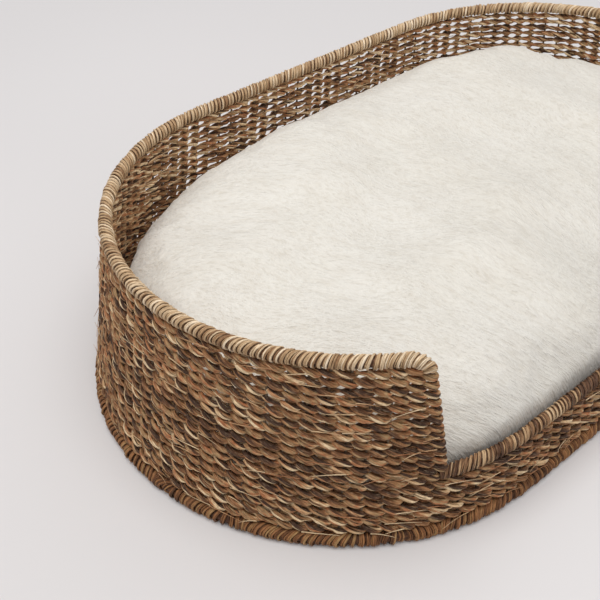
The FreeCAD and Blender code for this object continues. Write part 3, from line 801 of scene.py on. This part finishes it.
def lathe(name, rings):
    """A closed mesh from rings of points, the first and last closed by one face each."""
    m, n = len(rings[0]), len(rings)
    a = (np.arange(n - 1) * m)[:, None] + np.arange(m)
    b = (np.arange(n - 1) * m)[:, None] + (np.arange(m) + 1) % m
    quads = np.stack([a, b, b + m, a + m], -1).reshape(-1)
    loops = np.concatenate([quads, np.arange(m)[::-1], np.arange(m) + (n - 1) * m])
    sizes = np.concatenate([np.full((n - 1) * m, 4), [m, m]])
    return make_mesh(name, np.concatenate(rings), loops, sizes)


def cushion_form(name, inside=0.0):
    """The stuffed form, or the same form this much smaller all round."""
    low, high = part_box("cushion_top_cover")
    bend = high.y
    px, py, nx, ny = stadium(high.x - high.y, bend)
    across = px + nx * bend
    front = smooth((-ny - 0.55) / 0.4)
    ends = np.maximum(smooth((-across - 0.05) / 0.2), 0.7 * smooth((across - 0.27) / 0.1)) * (1 - front)
    shares = (1 - front - ends, ends, front)
    outlines = [resample(c) for c in (HELD, ENDS, ROLL)]
    rings = []
    for i in range(RINGS):
        off, z = (sum(c[i, j] * share for c, share in zip(outlines, shares)) for j in (0, 1))
        z = np.minimum(np.maximum(z, low.z + 2 * MM + inside * 0.3), z - inside * (i > RINGS // 2))
        reach = bend + off - inside
        rings.append(np.stack([px + nx * reach, py + ny * reach, z], -1))
    return lathe(name, rings)


def select_only(obj):
    bpy.ops.object.select_all(action="DESELECT")
    obj.select_set(True)
    bpy.context.view_layer.objects.active = obj


def apply_modifier(obj, kind, **settings):
    select_only(obj)
    mod = obj.modifiers.new(kind.title(), kind)
    for key, value in settings.items():
        setattr(mod, key, value)
    bpy.ops.object.modifier_apply(modifier=mod.name)


def points(obj):
    co = np.empty(len(obj.data.vertices) * 3, np.float32)
    obj.data.vertices.foreach_get("co", co)
    return co.reshape(-1, 3).astype(float)


def set_points(obj, co):
    obj.data.vertices.foreach_set("co", co.astype(np.float32).ravel())
    obj.data.update()


def normals(obj):
    no = np.empty(len(obj.data.vertices) * 3, np.float32)
    obj.data.vertices.foreach_get("normal", no)
    return no.reshape(-1, 3).astype(float)


def inflate(obj, frames=20, cap=7 * MM, gap=3.5 * MM):
    """Blow the cover up as cloth over its filling: no point moves further than the cap or nearer the wall."""
    before = points(obj)
    select_only(obj)
    cloth = obj.modifiers.new("Cloth", "CLOTH")
    settings = cloth.settings
    settings.use_pressure = True
    settings.uniform_pressure_force = 4.0
    settings.shrink_min = -0.015
    settings.mass = 0.4
    settings.tension_stiffness = settings.compression_stiffness = 20
    settings.bending_stiffness = 2.0
    settings.effector_weights.gravity = 0
    cloth.point_cache.frame_start = 1
    cloth.point_cache.frame_end = frames
    scene = bpy.context.scene
    for number in range(1, frames + 1):
        scene.frame_set(number)
    blown = obj.evaluated_get(bpy.context.evaluated_depsgraph_get())
    after = np.empty(len(before) * 3, np.float32)
    blown.data.vertices.foreach_get("co", after)
    obj.modifiers.remove(cloth)
    scene.frame_set(1)
    move = after.reshape(-1, 3) - before
    far = np.linalg.norm(move, axis=1, keepdims=True)
    co = before + move * np.minimum(1, cap / np.maximum(far, 1e-9))
    set_points(obj, keep_inside(co, gap))


def keep_inside(co, gap):
    """Hold points within the wall, this far from its inner face."""
    s, b = plan(np.clip(co[:, 2], Z_BASE, Z_TOP))
    over = np.maximum(np.abs(co[:, 0]) - s, 0) * np.sign(co[:, 0])
    reach = np.maximum(np.hypot(over, co[:, 1]), 1e-9)
    share = np.minimum(1, (b - HALF_WALL - gap) / reach)
    kept = co.copy()
    kept[:, 0] = co[:, 0] - over * (1 - share)
    kept[:, 1] = co[:, 1] * share
    return kept


def swell(obj, height, from_z):
    """Move points out by these heights in mm, except where the surface looks down."""
    no = normals(obj)
    topside = smooth((no[:, 2] + from_z) / 0.6)
    set_points(obj, points(obj) + no * (height * MM * topside)[:, None])


def uneven(co):
    """Soft hollows and swellings of the stuffing, in mm."""
    broad = np.array([noise.noise(Vector((x * 9, y * 9, z * 9 + 3))) for x, y, z in co])
    small = np.array([noise.noise(Vector((x * 24, y * 24, z * 24 + 9))) for x, y, z in co])
    return broad * 3.2 + small * 1.4


def tufts(co):
    """Locks of fur along the nap, in mm."""
    tuft = np.empty(len(co))
    for i, (x, y, z) in enumerate(co):
        w = Vector((x * 8, y * 8, z * 8))
        x += 0.02 * noise.noise(w) - NAP_FROM[0]
        y += 0.02 * noise.noise(w + Vector((5, 5, 5))) - NAP_FROM[1]
        p = Vector((math.atan2(x, y) * 80, math.hypot(x, y) * 42, z * 40))
        tuft[i] = noise.noise(p) + 0.5 * noise.noise(p * 2.3)
    return tuft * 0.9


def plush_cushion():
    obj = cushion_form("cushion_plush")
    apply_modifier(obj, "REMESH", mode="VOXEL", voxel_size=0.006)
    inflate(obj)
    swell(obj, uneven(points(obj)), 0.35)
    apply_modifier(obj, "SUBSURF", levels=1, render_levels=1)
    swell(obj, tufts(points(obj)), 0.5)
    obj.data.polygons.foreach_set("use_smooth", np.ones(len(obj.data.polygons), bool))
    obj.data.materials.clear()
    obj.data.materials.append(PLUSH)
    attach(obj, "cushion")
    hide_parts("cushion_top_cover")


def base_panel():
    """The flat panel, with a rounded seam at its edge."""
    low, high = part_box("cushion_base_panel")
    bend = high.y
    straight = high.x - high.y
    a = np.arange(200) / 200 * 2 * np.pi
    nx, ny = np.sin(a), np.cos(a)
    px = np.where(np.abs(nx) < 1e-9, 0, np.sign(nx)) * straight
    # distance outwards from the side, and height over the panel's lowest point, in mm, from above to below
    seam = [(-150, 1.9), (-60, 1.9), (-5, 1.9), (-1.2, 1.6), (0, 1.0)]
    seam += [(-1.2, 0.4), (-5, 0.0), (-14, 0.1), (-60, 0.15), (-150, 0.25)]
    rings = []
    for off, z in seam:
        reach = bend + off * MM
        rings.append(np.stack([px + nx * reach, ny * reach, np.full(len(a), low.z + z * MM)], -1))
    obj = lathe("cushion_panel_cloth", rings)
    obj.data.materials.append(PANEL)
    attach(obj, "cushion")
    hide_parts("cushion_base_panel")


def filling():
    obj = cushion_form("cushion_fibre_filling", 16 * MM)
    obj.data.materials.append(FILLING)
    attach(obj, "cushion")
    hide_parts("cushion_filling")


# ---------------------------------------------------------------- build

for number in range(1, 20):
    weave_row(number)
top_rim()
entrance_rim()
base_rim()
woven_floor()
plush_cushion()
filling()
base_panel()
for node in ("rim_wire", "base_ring_wire", "stake_wires", "base_cross_wires"):
    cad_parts[node].data.materials.clear()
    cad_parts[node].data.materials.append(WIRE)

# ---------------------------------------------------------------- floor, light, camera

ground = bpy.data.meshes.new("ground")
ground.from_pydata([(-8, -8, 0), (8, -8, 0), (8, 8, 0), (-8, 8, 0)], [], [(0, 1, 2, 3)])
floor = bpy.data.objects.new("ground", ground)
bpy.context.scene.collection.objects.link(floor)
GROUND, ground_shader = speckled_material("ground", 0.9, 1.2, 1.0, (217, 214, 214), (222, 219, 219))
ground_shader.inputs["Specular IOR Level"].default_value = 0.1
ground.materials.append(GROUND)

world = bpy.data.worlds.new("studio")
bpy.context.scene.world = world
world.use_nodes = True
sky = world.node_tree
back = sky.nodes["Background"]
around = sky.nodes.new("ShaderNodeTexCoord")
split = sky.nodes.new("ShaderNodeSeparateXYZ")
sky.links.new(around.outputs["Generated"], split.inputs[0])
dim_below = ramp(sky, split.outputs["Z"], [(0.0, (0.42, 0.415, 0.42, 1)), (0.9, (0.95, 0.96, 0.98, 1))])
sky.links.new(dim_below, back.inputs["Color"])
back.inputs["Strength"].default_value = 0.72


def softbox(name, place, aim, size, power, colour):
    light = bpy.data.lights.new(name, "AREA")
    light.shape = "RECTANGLE"
    light.size, light.size_y = size
    light.energy = power
    light.color = colour
    obj = bpy.data.objects.new(name, light)
    obj.location = place
    obj.rotation_euler = (Vector(aim) - Vector(place)).to_track_quat("-Z", "Y").to_euler()
    bpy.context.scene.collection.objects.link(obj)


softbox("key", (-0.5, -0.1, 2.5), (0, 0, 0.1), (2.4, 2.0), 41, (1.0, 0.985, 0.96))
softbox("fill", (2.2, -0.6, 1.3), (-0.2, 0.1, 0.1), (1.6, 1.2), 5, (1.0, 0.98, 0.95))

camera_data = bpy.data.cameras.new("camera")
camera = bpy.data.objects.new("camera", camera_data)
bpy.context.scene.collection.objects.link(camera)
bpy.context.scene.camera = camera
camera_data.sensor_width = 36.0
camera_data.lens = 58.992
camera_data.shift_x, camera_data.shift_y = 0.0542, -0.0515
# it stands to the left of the entrance and looks at this point in the basket, from this far off
AZIMUTH, ELEVATION, ROLL = -0.6784, 0.6564, -0.0353
TARGET, DISTANCE = np.array([-0.201, 0.055, 0.093]), 0.9463
level = math.cos(ELEVATION)
backward = np.array([math.sin(AZIMUTH) * level, -math.cos(AZIMUTH) * level, math.sin(ELEVATION)])
right = np.array([math.cos(AZIMUTH), math.sin(AZIMUTH), 0.0])
upward = np.cross(backward, right)
rolled_right = right * math.cos(ROLL) + upward * math.sin(ROLL)
rolled_up = -right * math.sin(ROLL) + upward * math.cos(ROLL)
pose = Matrix.Identity(4)
for i, row in enumerate(zip(rolled_right, rolled_up, backward, TARGET + backward * DISTANCE)):
    pose[i] = row
camera.matrix_world = pose
camera_data.clip_start = 0.02

bpy.context.scene.view_settings.view_transform = "Standard"
